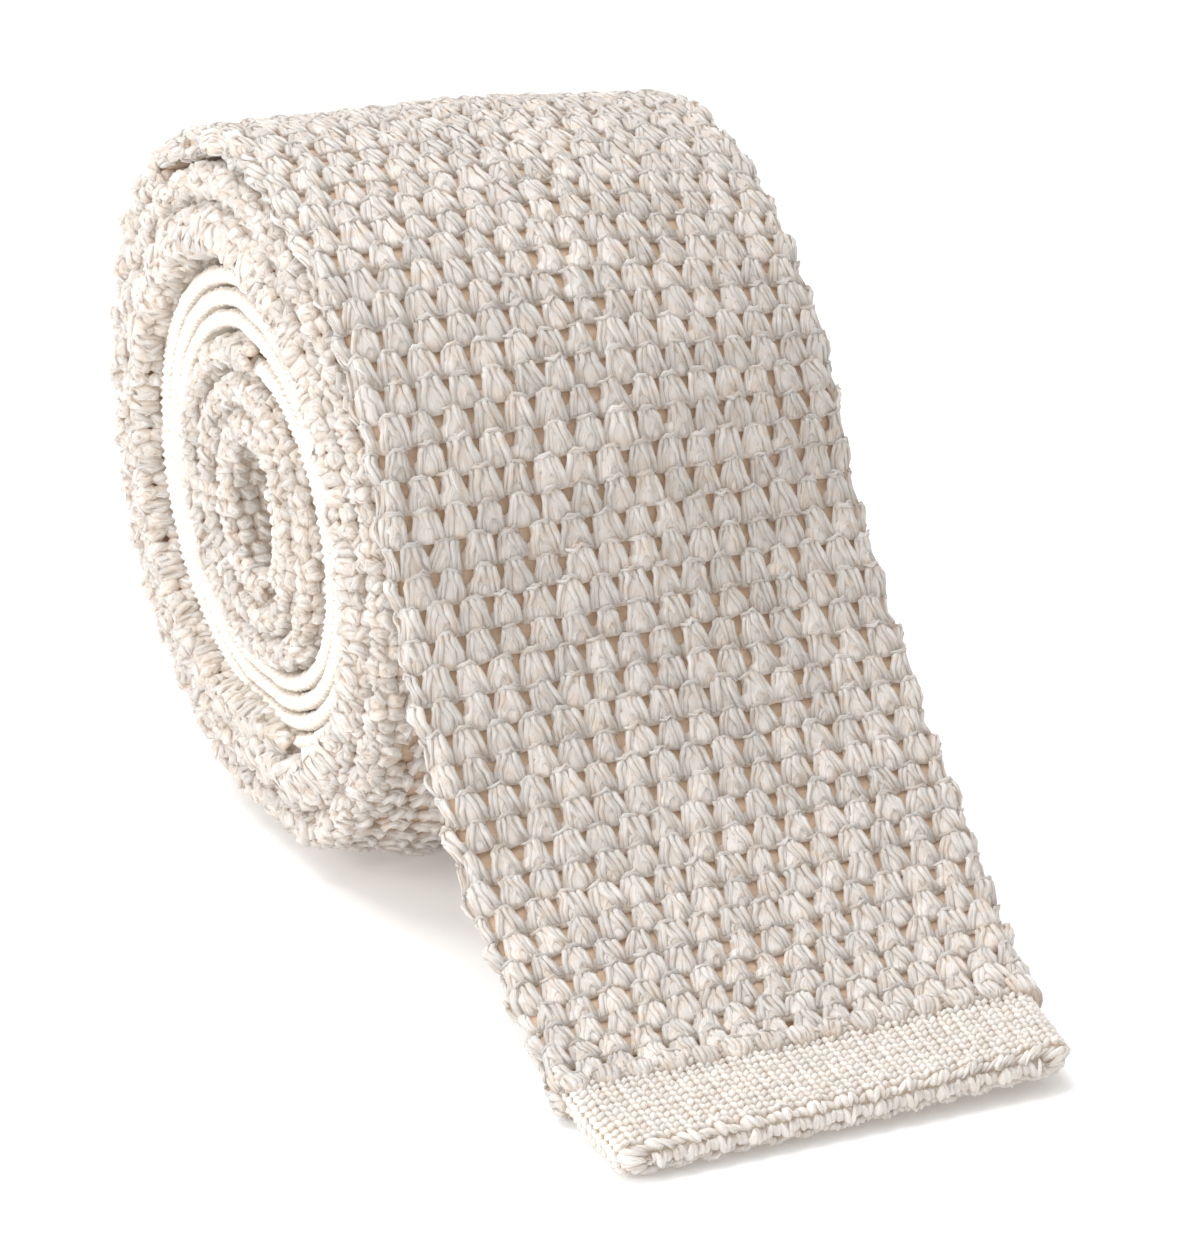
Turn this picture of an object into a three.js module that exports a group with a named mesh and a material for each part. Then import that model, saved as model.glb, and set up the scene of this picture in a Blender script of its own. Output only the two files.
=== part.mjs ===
import * as THREE from 'three';

// A knit tie rolled up from its narrow end, with the wide end running down to the floor.
// Millimetres. X runs across the tie, -Y is the side the wide end points to, Z is up.

// Width and thickness of the knitted strips
const BLADE_WIDTH = 59;
const BLADE_THICKNESS = 4.0;
const NECK_WIDTH = 34;
const NECK_THICKNESS = 2.2;
const TAIL_WIDTH = 50;
const TAIL_THICKNESS = 3.6;

// Turns in the roll, counted from the eye outward
const TAIL_TURNS = 2.875;
const NECK_TURNS = 3.5;
const BLADE_FULL_TURNS = 2;

// Air left between one turn and the next
const TAIL_GAP = 0.6;
const NECK_GAP = 0.32;
const BLADE_GAP = 0.5;
const SEAT_GAP = 1.8;
const SEAT_RAMP_DEG = 75;
const END_GAP = 0.35;

// The eye left in the middle, and how much looser each strip lies to the front and back
const EYE_HALF_WIDTH = 2.8;
const EYE_HALF_HEIGHT = 5.4;
const TAIL_LOOSENESS = 1.42;
const NECK_LOOSENESS = 1.03;
const BLADE_LOOSENESS = 1.0;

// Where the free run leaves the roll, measured from the top toward the front
const LEAVE_DEG = 75;
const STEP_DEG = 7.5;
const TAIL_STEP_COUNT = 2;

// The roll settles on a flat under its own weight
const FLAT_DROP = 0.9;

// The left rim of the roll is squeezed up off the floor
const RIM_LIFT = 3.2;
const RIM_INSET = 15;
const RIM_REACH = 15;
const RIM_HEIGHT = 40;
const RIM_FRONT = 44;
const RIM_FADE = 8;

// The left edge of each wide turn stands out a little further toward the core,
// and the strips inside lie back from it
const TELESCOPE = 0.6;
const NECK_RECESS = 2.2;
const TAIL_RECESS = 1.0;

// The free run: how far it reaches, and the pull of its two bends
const RUN_REACH = 98;
const RUN_UPPER_PULL = 0.33;
const RUN_LOWER_PULL = 0.32;
const RUN_FLAT = 13.5;
const RUN_SWAY_DEG = 6.5;
const TIP_TURN_DEG = -2.6;
const TIP_TURN_FROM = 0.84;
const RUN_STEPS = 22;

// The fine knit bands that close the two ends
const END_BAND_LENGTH = 18;
const END_BAND_WIDTH = 53;
const END_BAND_THICKNESS = 3.4;
const END_CORNER = 3;
const END_FULLNESS = 1.06;
const END_LEFT_DROP = 0.3;
const END_BAND_SETTLE = 0.24;
const RUN_LEVEL = BLADE_THICKNESS / 2 + END_LEFT_DROP;
const TAIL_BAND_TURNS = 0.375;
const TAIL_BAND_INSET = 1.5;
const TAIL_BAND_THICKNESS = 3.0;

// Drop of the left and right edges below the lengthwise ridge, round the roll: angles from the
// top toward the front, the roll's bottom pressed flat
const ROOF = [
  { deg: -180, leftDrop: 0, rightDrop: 0 },
  { deg: -142, leftDrop: 0, rightDrop: 0 },
  { deg: -98, leftDrop: 0.6, rightDrop: 4.0 },
  { deg: -45, leftDrop: 0, rightDrop: 3.2 },
  { deg: 0, leftDrop: -0.2, rightDrop: 3.1 },
  { deg: 40, leftDrop: 0.5, rightDrop: 5.4 },
  { deg: 75, leftDrop: 1.0, rightDrop: 6.8 },
  { deg: 98, leftDrop: 0.9, rightDrop: 6.2 },
  { deg: 142, leftDrop: 0, rightDrop: 0 },
  { deg: 180, leftDrop: 0, rightDrop: 0 },
];

// The same drops, with the width of the strip, along the free run from the roll (0) to the tip (1)
const RUN_SHAPE = [
  { along: 0.0, leftDrop: 1.0, rightDrop: 6.8, width: BLADE_WIDTH },
  { along: 0.25, leftDrop: 2.4, rightDrop: 2.2, width: BLADE_WIDTH },
  { along: 0.5, leftDrop: 3.4, rightDrop: -1.7, width: BLADE_WIDTH * 0.975 },
  { along: 0.7, leftDrop: 1.4, rightDrop: -1.5, width: BLADE_WIDTH * 0.96 },
  { along: 0.84, leftDrop: 0.05, rightDrop: -1.2, width: BLADE_WIDTH * 0.94 },
  { along: 1.0, leftDrop: END_LEFT_DROP, rightDrop: -0.8, width: BLADE_WIDTH * 0.9 },
];

// Cross-section, from the left edge to the right: place across as a share of half the width,
// thickness there as a share of the full thickness
const WIDE_SECTION = [
  { across: -1, thick: 0.42 },
  { across: -0.96, thick: 1 },
  { across: -0.5, thick: 1 },
  { across: 0, thick: 1 },
  { across: 0.5, thick: 1 },
  { across: 0.96, thick: 1 },
  { across: 1, thick: 0.42 },
];
const NARROW_SECTION = [
  { across: -1, thick: 0.45 },
  { across: -0.95, thick: 1 },
  { across: 0, thick: 1 },
  { across: 0.95, thick: 1 },
  { across: 1, thick: 0.45 },
];

const IVORY = 0xe6dfd6;
const IVORY_FINE = 0xebe5dc;

const FULL_TURN = 360;
const radians = (deg) => deg * Math.PI * 2 / FULL_TURN;
const smooth = (t) => {
  const c = Math.min(1, Math.max(0, t));
  return c * c * (3 - 2 * c);
};

// Steps of the winding
const STEPS_PER_TURN = Math.round(FULL_TURN / STEP_DEG);
const TAIL_END = Math.round(TAIL_TURNS * STEPS_PER_TURN);
const NECK_END = TAIL_END + Math.round(NECK_TURNS * STEPS_PER_TURN);
const BLADE_STEPS = BLADE_FULL_TURNS * STEPS_PER_TURN + Math.round((LEAVE_DEG + FULL_TURN / 2) / STEP_DEG);
const WINDING_END = NECK_END + BLADE_STEPS;
const TAIL_BAND_END = Math.round(TAIL_BAND_TURNS * STEPS_PER_TURN);

const STRIPS = [
  { name: 'tail', until: TAIL_END, thick: TAIL_THICKNESS, gap: TAIL_GAP, loose: TAIL_LOOSENESS },
  { name: 'neck', until: NECK_END, thick: NECK_THICKNESS, gap: NECK_GAP, loose: NECK_LOOSENESS },
  { name: 'blade', until: WINDING_END + 1, thick: BLADE_THICKNESS, gap: BLADE_GAP, loose: BLADE_LOOSENESS },
];
const stripAt = (k) => STRIPS.find((s) => k < s.until) ?? STRIPS[STRIPS.length - 1];

// Thickness that the next turn has to clear: a step is spread over a few stations
function clearedThickness(k) {
  const reach = 3;
  let sum = 0;
  for (let j = -reach; j <= reach; j++) {
    let most = 0;
    for (let i = -reach; i <= reach; i++) most = Math.max(most, stripAt(Math.max(0, k + j + i)).thick);
    sum += most;
  }
  return sum / (2 * reach + 1);
}

// Each turn lies on the one below it: how far its underside stands from the eye
const underY = [];
const underZ = [];
for (let k = 0; k <= WINDING_END; k++) {
  if (k < STEPS_PER_TURN) {
    const share = k / STEPS_PER_TURN;
    underY.push((TAIL_THICKNESS + TAIL_GAP) * TAIL_LOOSENESS * share);
    underZ.push((TAIL_THICKNESS + TAIL_GAP) * share);
    continue;
  }
  const below = k - STEPS_PER_TURN;
  const seat = SEAT_GAP * smooth((below - (NECK_END - STEPS_PER_TURN)) * STEP_DEG / SEAT_RAMP_DEG);
  const seated = below < NECK_END ? seat : 0;
  const rise = clearedThickness(below) + stripAt(below).gap + seated;
  underY.push(underY[below] + rise * stripAt(below).loose);
  underZ.push(underZ[below] + rise);
}

const phiAt = (k) => LEAVE_DEG - (WINDING_END - k) * STEP_DEG;
const BOTTOM_STATION = WINDING_END - Math.round((LEAVE_DEG + FULL_TURN / 2) / STEP_DEG);
const OUTER_HEIGHT = EYE_HALF_HEIGHT + underZ[WINDING_END] + BLADE_THICKNESS / 2;

// Centre line of the winding about the eye, in the Y-Z plane
function windingPoint(k, thick) {
  const phi = radians(phiAt(k));
  const a = EYE_HALF_WIDTH + underY[k] + thick / 2;
  const b = EYE_HALF_HEIGHT + underZ[k] + thick / 2;
  const turnsBelow = Math.max(0, Math.round((BOTTOM_STATION - k) / STEPS_PER_TURN));
  const bottom = Math.max(0, BOTTOM_STATION - turnsBelow * STEPS_PER_TURN);
  const bAtBottom = EYE_HALF_HEIGHT + underZ[bottom] + thick / 2;
  const lowest = bAtBottom * (1 - FLAT_DROP / OUTER_HEIGHT);
  const z = b * Math.cos(phi);
  return { y: -a * Math.sin(phi), z: Math.max(z, -lowest), pressed: z <= -lowest };
}

const ROLL_HEIGHT = BLADE_THICKNESS / 2 - windingPoint(BOTTOM_STATION, BLADE_THICKNESS).z;

// A row of a table at any place between its rows, mixed smoothly
function tableRow(table, key, place) {
  const next = Math.max(1, table.findIndex((row) => row[key] >= place));
  const a = table[next - 1];
  const b = table[next];
  const t = (place - a[key]) / (b[key] - a[key]);
  return Object.fromEntries(Object.keys(a).map((name) => [name, a[name] + (b[name] - a[name]) * t]));
}

// The roof-like fall to both edges at a step of the winding
function roofAt(k) {
  const half = FULL_TURN / 2;
  const deg = ((((phiAt(k) + half) % FULL_TURN) + FULL_TURN) % FULL_TURN) - half;
  return tableRow(ROOF, 'deg', deg);
}

// Stations: centre of the section, its normal, yaw, width, thickness and edge drops
function addNormals(stations) {
  stations.forEach((s, i) => {
    const before = stations[Math.max(0, i - 1)];
    const after = stations[Math.min(stations.length - 1, i + 1)];
    const dy = after.y - before.y;
    const dz = after.z - before.z;
    const length = Math.hypot(dy, dz);
    s.normalY = s.pressed ? 0 : dz / length;
    s.normalZ = s.pressed ? -1 : -dy / length;
  });
  return stations;
}

function woundStations({ from, to, every, thick, width, leftEdge, roofed }) {
  const list = [];
  for (let k = from; k <= to; k += every) {
    const point = windingPoint(k, thick);
    const turnsIn = Math.min(WINDING_END - k, BLADE_STEPS) / STEPS_PER_TURN;
    const roof = roofAt(k);
    list.push({
      x: leftEdge + width / 2 - TELESCOPE * turnsIn,
      y: point.y,
      z: point.z + ROLL_HEIGHT,
      pressed: point.pressed,
      yaw: 0,
      width,
      thick,
      leftDrop: roofed ? roof.leftDrop : 0,
      rightDrop: roofed ? roof.rightDrop : 0,
    });
  }
  return list;
}

// The free run leaves the roll along its tangent and bends out flat on the floor
function runPath(last, beforeLast) {
  const leave = new THREE.Vector2(last.y, last.z);
  const heading = new THREE.Vector2(last.y - beforeLast.y, last.z - beforeLast.z).normalize();
  const land = new THREE.Vector2(-RUN_REACH, RUN_LEVEL);
  const span = leave.distanceTo(land);
  const upper = leave.clone().addScaledVector(heading, span * RUN_UPPER_PULL);
  const lower = new THREE.Vector2(land.x + span * RUN_LOWER_PULL, land.y);
  const bend = new THREE.CubicBezierCurve(leave, upper, lower, land);
  const bendLength = bend.getLength();
  const total = bendLength + RUN_FLAT;
  const pointAt = (run) => {
    const onBend = Math.min(run, bendLength);
    const point = bend.getPointAt(onBend / bendLength);
    return { y: point.x - (run - onBend), z: point.y };
  };
  return { total, pointAt };
}

// The run sways sideways as it goes, and its tip lies a little turned
function runStation(path, run) {
  const along = run / path.total;
  const point = path.pointAt(run);
  const start = path.pointAt(0);
  const sway = radians(RUN_SWAY_DEG) * along;
  return {
    x: Math.tan(sway / 2) * (point.y - start.y),
    y: point.y,
    z: point.z,
    yaw: radians(TIP_TURN_DEG) * smooth((along - TIP_TURN_FROM) / (1 - TIP_TURN_FROM)),
    thick: BLADE_THICKNESS,
    ...tableRow(RUN_SHAPE, 'along', along),
  };
}

// Height added to a point of the roll where its left rim is squeezed up
function rimLift(x, y, z) {
  const atRim = smooth((-x - RIM_INSET) / RIM_REACH);
  return RIM_LIFT * atRim * (1 - smooth(z / RIM_HEIGHT)) * smooth((y + RIM_FRONT) / RIM_FADE);
}

// Skin a strip over its stations
function stripGeometry(stations, section) {
  const rows = section.length;
  const ring = rows * 2;
  const positions = [];
  for (const s of stations) {
    const place = (row, side) => {
      const across = row.across * s.width / 2;
      const drop = row.across < 0 ? -row.across * s.leftDrop : row.across * s.rightDrop;
      const lift = side * row.thick * s.thick / 2 - drop;
      const x = s.x + across * Math.cos(s.yaw);
      const y = s.y - across * Math.sin(s.yaw) + s.normalY * lift;
      const z = s.z + s.normalZ * lift;
      positions.push(x, y, z + rimLift(x, y, z));
    };
    section.forEach((row) => place(row, 1));
    [...section].reverse().forEach((row) => place(row, -1));
  }
  const index = [];
  for (let i = 0; i + 1 < stations.length; i++) {
    for (let j = 0; j < ring; j++) {
      const a = i * ring + j;
      const b = i * ring + (j + 1) % ring;
      index.push(a, b, b + ring, a, b + ring, a + ring);
    }
  }
  const last = (stations.length - 1) * ring;
  for (let j = 0; j + 1 < rows; j++) {
    const under = ring - 1 - j;
    index.push(j, under, under - 1, j, under - 1, j + 1);
    index.push(last + j, last + under - 1, last + under, last + j, last + j + 1, last + under - 1);
  }
  const geometry = new THREE.BufferGeometry();
  geometry.setAttribute('position', new THREE.Float32BufferAttribute(positions, 3));
  geometry.setIndex(index);
  return geometry;
}

// Signed volume decides which way the faces turn
function facingOut(geometry) {
  const position = geometry.getAttribute('position');
  const index = geometry.getIndex();
  const [a, b, c] = [new THREE.Vector3(), new THREE.Vector3(), new THREE.Vector3()];
  let volume = 0;
  for (let i = 0; i < index.count; i += 3) {
    a.fromBufferAttribute(position, index.getX(i));
    b.fromBufferAttribute(position, index.getX(i + 1));
    c.fromBufferAttribute(position, index.getX(i + 2));
    volume += a.dot(b.cross(c));
  }
  if (volume < 0) {
    for (let i = 0; i < index.count; i += 3) {
      const second = index.getX(i + 1);
      index.setX(i + 1, index.getX(i + 2));
      index.setX(i + 2, second);
    }
  }
  geometry.computeVertexNormals();
  return geometry;
}

function strip(name, stations, section, colour, roughness) {
  const material = new THREE.MeshStandardMaterial({ color: colour, roughness, metalness: 0 });
  const mesh = new THREE.Mesh(facingOut(stripGeometry(stations, section)), material);
  mesh.name = name;
  return mesh;
}

// Pull the last or first station of a strip back to leave the end gap
function trimEnd(stations, length) {
  const [a, b] = stations.slice(-2);
  const span = Math.hypot(b.y - a.y, b.z - a.z);
  const keep = 1 - length / span;
  b.y = a.y + (b.y - a.y) * keep;
  b.z = a.z + (b.z - a.z) * keep;
  return stations;
}

const LEFT_EDGE = -BLADE_WIDTH / 2;

const tailBand = trimEnd(addNormals(woundStations({
  from: 0, to: TAIL_BAND_END, every: 1, thick: TAIL_BAND_THICKNESS,
  width: TAIL_WIDTH - 2 * TAIL_BAND_INSET,
  leftEdge: LEFT_EDGE + TAIL_RECESS + TAIL_BAND_INSET, roofed: false,
})), END_GAP);

const tail = trimEnd(addNormals(woundStations({
  from: TAIL_BAND_END, to: TAIL_END, every: TAIL_STEP_COUNT, thick: TAIL_THICKNESS,
  width: TAIL_WIDTH, leftEdge: LEFT_EDGE + TAIL_RECESS, roofed: false,
})), END_GAP);

const neck = trimEnd(addNormals(woundStations({
  from: TAIL_END, to: NECK_END, every: 1, thick: NECK_THICKNESS,
  width: NECK_WIDTH, leftEdge: LEFT_EDGE + NECK_RECESS, roofed: false,
})), END_GAP);

const wound = woundStations({
  from: NECK_END, to: WINDING_END, every: 1, thick: BLADE_THICKNESS,
  width: BLADE_WIDTH, leftEdge: LEFT_EDGE, roofed: true,
});
const path = runPath(wound[wound.length - 1], wound[wound.length - 2]);
const bladeRun = path.total - END_BAND_LENGTH - END_GAP;
const run = Array.from({ length: RUN_STEPS }, (_, i) => runStation(path, bladeRun * (i + 1) / RUN_STEPS));

// The end band carries the run on to the tip, its edges a little fuller and its tip rounded off
const TIP = [
  { back: END_BAND_LENGTH, narrower: 0, thin: 1 },
  { back: END_BAND_LENGTH * 0.75, narrower: 0.2, thin: 1 },
  { back: END_BAND_LENGTH * 0.5, narrower: 0.4, thin: 1 },
  { back: END_CORNER, narrower: 0.8, thin: END_FULLNESS },
  { back: END_CORNER * 0.35, narrower: 1 + END_CORNER * 0.5, thin: 1 },
  { back: 0, narrower: 1 + END_CORNER * 2, thin: 0.55 },
];
const settled = (station) => ({ ...station, z: station.z - END_BAND_SETTLE });
const tip = TIP.map((row) => ({
  ...settled(runStation(path, path.total - row.back)),
  width: END_BAND_WIDTH - row.narrower,
  thick: END_BAND_THICKNESS * row.thin,
}));

// Normals are taken along blade and band together, so their facing ends stay parallel
const whole = addNormals([...wound, ...run, ...tip]);
const blade = whole.slice(0, -tip.length);
const endBand = whole.slice(-tip.length);

const tie = new THREE.Group();
tie.name = 'knit_tie';
tie.add(
  strip('end_band', endBand, WIDE_SECTION, IVORY_FINE, 0.7),
  strip('front_blade', blade, WIDE_SECTION, IVORY, 0.75),
  strip('neck_band', neck, NARROW_SECTION, IVORY_FINE, 0.7),
  strip('tail_blade', tail, NARROW_SECTION, IVORY, 0.75),
  strip('tail_band', tailBand, NARROW_SECTION, IVORY_FINE, 0.7),
);

// Stand the tie on the origin, centred under its outline
const box = new THREE.Box3().setFromObject(tie);
const centre = box.getCenter(new THREE.Vector3());
tie.children.forEach((mesh) => mesh.geometry.translate(-centre.x, -centre.y, -box.min.z));

export default tie;
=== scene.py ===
import math

import bmesh
import bpy
import numpy as np
from mathutils import Matrix, Vector


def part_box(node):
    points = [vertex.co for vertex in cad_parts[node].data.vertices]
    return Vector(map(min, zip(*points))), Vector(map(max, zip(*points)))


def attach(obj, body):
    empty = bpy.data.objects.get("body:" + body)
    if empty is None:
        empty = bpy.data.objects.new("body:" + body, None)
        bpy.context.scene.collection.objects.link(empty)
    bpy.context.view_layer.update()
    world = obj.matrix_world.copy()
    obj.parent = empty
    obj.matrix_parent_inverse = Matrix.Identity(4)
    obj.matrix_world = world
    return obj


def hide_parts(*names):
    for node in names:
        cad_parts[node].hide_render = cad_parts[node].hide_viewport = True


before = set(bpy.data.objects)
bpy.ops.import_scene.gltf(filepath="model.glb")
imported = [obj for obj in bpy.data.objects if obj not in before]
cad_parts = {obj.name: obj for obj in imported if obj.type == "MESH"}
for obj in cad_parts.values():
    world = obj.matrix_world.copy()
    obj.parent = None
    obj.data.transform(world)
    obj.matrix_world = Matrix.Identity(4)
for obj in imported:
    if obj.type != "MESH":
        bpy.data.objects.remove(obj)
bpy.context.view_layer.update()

# Every length below is in millimetres; meshes are written in metres.
MM = 0.001

# The knitted strips
BLADE_WIDTH = 59.0
BLADE_THICK = 4.0
NECK_WIDTH = 34.0
NECK_THICK = 2.2
TAIL_WIDTH = 50.0
TAIL_THICK = 3.6
END_BAND_LENGTH = 18.0
END_BAND_WIDTH = 54.5
END_BAND_THICK = 3.4
END_BAND_TAPER = 0.8
END_CORNER = 2.2
END_TIP_RADIUS = 1.7
END_GAP = 0.35

# The winding, from the eye outward
TAIL_TURNS = 2.875
NECK_TURNS = 3.5
BLADE_FULL_TURNS = 2
TAIL_GAP = 0.6
NECK_GAP = 0.32
BLADE_GAP = 0.5
SEAT_GAP = 1.8
SEAT_RAMP_DEG = 75.0
EYE_HALF_WIDTH = 2.8
EYE_HALF_HEIGHT = 5.4
TAIL_LOOSENESS = 1.42
NECK_LOOSENESS = 1.03
LEAVE_DEG = 75.0
STEP_DEG = 7.5
FLAT_DROP = 0.9
TELESCOPE = 0.6
NECK_RECESS = 2.2
TAIL_RECESS = 1.0
TAIL_BAND_TURNS = 0.375
TAIL_BAND_INSET = 1.5
TAIL_BAND_THICK = 3.0

# Drop of the left and right edges below the ridge, by angle from the top toward the front
ROOF = np.array(
    [
        (-180, 0.0, 0.0),
        (-142, 0.0, 0.0),
        (-98, 0.3, 4.0),
        (-45, -0.9, 3.2),
        (0, -1.3, 3.1),
        (40, -0.4, 5.4),
        (75, 0.8, 6.8),
        (98, 0.9, 6.2),
        (142, 0.0, 0.0),
        (180, 0.0, 0.0),
    ]
)

# The left rim of the roll, squeezed up off the floor
RIM_LIFT = 3.2
RIM_INSET = 15.0
RIM_REACH = 15.0
RIM_HEIGHT = 40.0
RIM_FRONT = 44.0
RIM_FADE = 8.0

# The free run down to the floor
RUN_REACH = 98.0
RUN_UPPER_PULL = 0.33
RUN_LOWER_PULL = 0.32
RUN_FLAT = 13.5
RUN_SWAY_DEG = 6.5
TIP_TURN_DEG = -2.6
TIP_TURN_FROM = 0.84
TIP_SHIFT = 1.6
RUN_LEVEL = 2.3
END_BAND_SETTLE = 0.24
RUN_SHAPE = np.array(
    [
        # along, left drop, right drop, share of the blade's width
        (0.00, 1.0, 6.8, 1.0),
        (0.25, 2.4, 2.2, 1.0),
        (0.50, 3.4, -1.7, 0.975),
        (0.70, 1.4, -1.5, 0.96),
        (0.84, 0.05, -1.2, 0.96),
        (1.00, 0.3, -0.8, 0.925),
    ]
)

# The knit: one stitch across and along each strip
STITCH_ACROSS = 3.75
STITCH_ALONG = 3.5
FINE_ACROSS = 1.62
FINE_ALONG = 1.42
RIB_ALONG = 1.1
RIDGE_SOFTNESS = 4.0
EDGE_LOBE = 0.4
SCALLOP_PITCH = 3.7
SCALLOP_SWELL = 0.62
SCALLOP_DEPTH = 2.6
SCALLOP_FULLNESS = 0.5
LOWER_SCALLOPS = 0.4
BAND_STARTS = -3.3
BAND_DIP = 0.6


def smooth(t):
    c = np.clip(t, 0, 1)
    return c * c * (3 - 2 * c)


# The winding
TURN = round(360 / STEP_DEG)
TAIL_END = round(TAIL_TURNS * TURN)
NECK_END = TAIL_END + round(NECK_TURNS * TURN)
BLADE_STEPS = BLADE_FULL_TURNS * TURN + round((LEAVE_DEG + 180) / STEP_DEG)
WINDING_END = NECK_END + BLADE_STEPS
TAIL_BAND_END = round(TAIL_BAND_TURNS * TURN)
BOTTOM_STEP = WINDING_END - round((LEAVE_DEG + 180) / STEP_DEG)
LEFT_EDGE = -BLADE_WIDTH / 2
FINE_STEP = 0.25


def wound_layer(k):
    """Thickness, gap and looseness of the strip wound at step k."""
    if k < TAIL_END:
        return TAIL_THICK, TAIL_GAP, TAIL_LOOSENESS
    if k < NECK_END:
        return NECK_THICK, NECK_GAP, NECK_LOOSENESS
    return BLADE_THICK, BLADE_GAP, 1.0


def cleared(k, reach=3):
    """The thickness that the next turn has to clear, spread over a few steps."""
    near = range(-reach, reach + 1)
    return sum(max(wound_layer(max(0, k + j + i))[0] for i in near) for j in near) / len(near)


def turn_undersides():
    """How far the underside of each step stands from the eye, sideways and up."""
    side, up = [], []
    for k in range(WINDING_END + 1):
        if k < TURN:
            rise = (TAIL_THICK + TAIL_GAP) * k / TURN
            side.append(rise * TAIL_LOOSENESS)
            up.append(rise)
            continue
        below = k - TURN
        rise = cleared(below) + wound_layer(below)[1]
        if below < NECK_END:
            rise += SEAT_GAP * float(smooth((below - NECK_END + TURN) * STEP_DEG / SEAT_RAMP_DEG))
        side.append(side[below] + rise * wound_layer(below)[2])
        up.append(up[below] + rise)
    return np.array(side), np.array(up)


UNDER_SIDE, UNDER_UP = turn_undersides()
ALL_STEPS = np.arange(WINDING_END + 1)
OUTER_HEIGHT = EYE_HALF_HEIGHT + UNDER_UP[WINDING_END] + BLADE_THICK / 2


def angle_at(k):
    return LEAVE_DEG - (WINDING_END - k) * STEP_DEG


def wound_points(k, thick):
    """Middle of the wound strip at steps k, about the eye."""
    phi = np.radians(angle_at(k))
    a = EYE_HALF_WIDTH + np.interp(k, ALL_STEPS, UNDER_SIDE) + thick / 2
    b = EYE_HALF_HEIGHT + np.interp(k, ALL_STEPS, UNDER_UP) + thick / 2
    turns_below = np.maximum(0, np.round((BOTTOM_STEP - k) / TURN))
    bottom = np.maximum(0, BOTTOM_STEP - turns_below * TURN)
    at_bottom = EYE_HALF_HEIGHT + np.interp(bottom, ALL_STEPS, UNDER_UP) + thick / 2
    lowest = at_bottom * (1 - FLAT_DROP / OUTER_HEIGHT)
    return -a * np.sin(phi), np.maximum(b * np.cos(phi), -lowest)


ROLL_HEIGHT = BLADE_THICK / 2 - float(wound_points(np.array([float(BOTTOM_STEP)]), BLADE_THICK)[1][0])


def rim_lift(points):
    """Raises the points of the roll's left rim near the floor."""
    x, y, z = points.T
    share = smooth((-x - RIM_INSET) / RIM_REACH) * (1 - smooth(z / RIM_HEIGHT))
    return points + np.outer(RIM_LIFT * share * smooth((y + RIM_FRONT) / RIM_FADE), (0, 0, 1))


class Strip:
    """A knitted strip: its middle line, and the rounded section round it.

    Places on it are given by the length along it, the share of the way round its section from
    the middle of the outer face over the right edge, and the height off its middle.
    """

    def __init__(self, rows, thick, ridge=1.0, lobe=0.0, tip=0.0):
        x, y, z, yaw, width, left_drop, right_drop = rows
        keep = np.r_[True, np.hypot(np.diff(y), np.diff(z)) > 1e-6]
        x, y, z, yaw, width, left_drop, right_drop = (
            q[keep] for q in (x, y, z, yaw, width, left_drop, right_drop)
        )
        self.s = np.r_[0, np.cumsum(np.hypot(np.diff(y), np.diff(z)))]
        self.length = float(self.s[-1])
        dy, dz = np.gradient(y, self.s), np.gradient(z, self.s)
        size = np.hypot(dy, dz)
        self.table = np.column_stack([x, y, z, dz / size, -dy / size, yaw, width, left_drop, right_drop])
        self.thick, self.ridge, self.lobe, self.tip = thick, ridge, lobe, tip
        self.bend = thick / 2 * 0.8

    def station(self, s):
        inside = np.clip(s, 0, self.length)
        columns = range(self.table.shape[1])
        rows = np.column_stack([np.interp(inside, self.s, self.table[:, i]) for i in columns])
        rows[:, 1] -= rows[:, 4] * (s - inside)
        rows[:, 2] += rows[:, 3] * (s - inside)
        return rows

    def flat(self, s):
        """Half of the straight part of the section."""
        return self.station(np.atleast_1d(s))[:, 6] / 2 - self.thick / 2

    def girth(self, s):
        return 4 * self.flat(s) + 2 * math.pi * self.bend

    def edge_share(self, s):
        """The share of the way round at which the right edge's middle lies."""
        return (self.flat(s) + math.pi * self.bend / 2) / self.girth(s)

    def place(self, s, share, height):
        flat = self.flat(s)
        girth = self.girth(s)
        arc = math.pi * self.bend
        g = np.mod(share, 1.0) * girth
        mirrored = g > girth / 2
        g = np.where(mirrored, girth - g, g)
        turn = np.clip((g - flat) / self.bend, 0, math.pi)
        lobe = self.lobe * np.sin(turn) * np.cos(math.pi * (s / STITCH_ALONG - 0.5))
        height = height + lobe
        over = np.where(g > flat + arc, 2 * flat + arc - g, np.minimum(g, flat))
        across = over + height * np.sin(turn)
        lift = height * np.cos(turn)
        if self.tip:
            bow = np.maximum((s - self.length + self.tip) / self.tip, 0)
            s = np.where(bow > 0, self.length - self.tip + height * np.sin(bow), s)
            across = over + (across - over) * np.cos(bow)
            lift = lift * np.cos(bow)
        return self.point(s, np.where(mirrored, -across, across), lift)

    def point(self, s, across, lift):
        rows = self.station(s)
        half = rows[:, 6] / 2
        soft = np.hypot(across, self.ridge) - self.ridge
        drop = np.where(across < 0, rows[:, 7], rows[:, 8]) * soft / (np.hypot(half, self.ridge) - self.ridge)
        x = rows[:, 0] + across * np.cos(rows[:, 5])
        y = rows[:, 1] - across * np.sin(rows[:, 5]) + rows[:, 3] * (lift - drop)
        z = rows[:, 2] + rows[:, 4] * (lift - drop)
        return rim_lift(np.column_stack([x, y, z]))


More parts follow.
